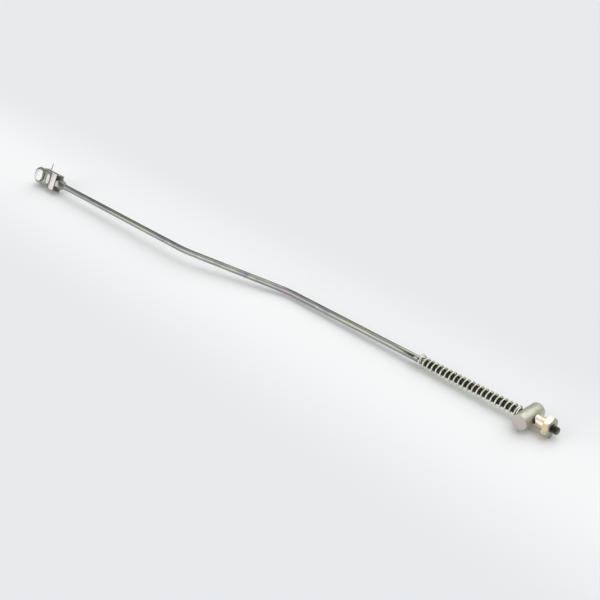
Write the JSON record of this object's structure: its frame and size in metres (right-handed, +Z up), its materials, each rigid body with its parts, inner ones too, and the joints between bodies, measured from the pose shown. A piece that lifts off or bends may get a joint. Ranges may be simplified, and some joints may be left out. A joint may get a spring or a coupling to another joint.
{
  "type": "brake rod",
  "caption": "Bent steel brake rod with a pinned clevis at one end and a return spring, cross barrel trunnion and adjuster nut at the other.",
  "frame": {"origin": "middle of the footprint, on the surface that the part lies on", "axes": "+X along the rod towards the adjuster nut, +Z up, as it lies at rest"},
  "size_m": [0.6096, 0.0486, 0.0198],
  "materials": {
    "rod_zinc": "zinc plated, drawn wire",
    "clevis_steel": "zinc plated, pressed",
    "pin_steel": "zinc plated, satin",
    "cotter_steel": "drawn wire",
    "spring_zinc": "yellow zinc plated",
    "trunnion_zinc": "yellow zinc plated, matt",
    "nut_zinc": "yellow zinc plated, bright"
  },
  "bodies": {
    "rod": {"brake_rod": "rod_zinc", "clevis": "clevis_steel", "clevis_lock_nut": "clevis_steel", "return_spring": "spring_zinc"},
    "pin": {"clevis_pin": "pin_steel", "cotter_pin": "cotter_steel"},
    "trunnion": {"trunnion": "trunnion_zinc"},
    "nut": {"adjuster_nut": "nut_zinc"}
  },
  "joints": [
    {"name": "pin_turn", "type": "hinge", "parent": "rod", "child": "pin", "pos_m": [-0.29524, -0.01562, 0.00988], "axis": [0.0066, 0.8681, -0.4963], "continuous": true},
    {"name": "trunnion_travel", "type": "slide", "parent": "rod", "child": "trunnion", "axis": [0.9999, 0.0001, 0.0136], "range_m": [-0.025, 0], "stiffness_N_per_m": 1500, "springref_m": 0.01, "deforming": ["return_spring"]},
    {"name": "nut_turn", "type": "hinge", "parent": "rod", "child": "nut", "pos_m": [0.29674, 0.01096, 0.00799], "axis": [0.9999, 0.0001, 0.0136], "continuous": true}
  ]
}
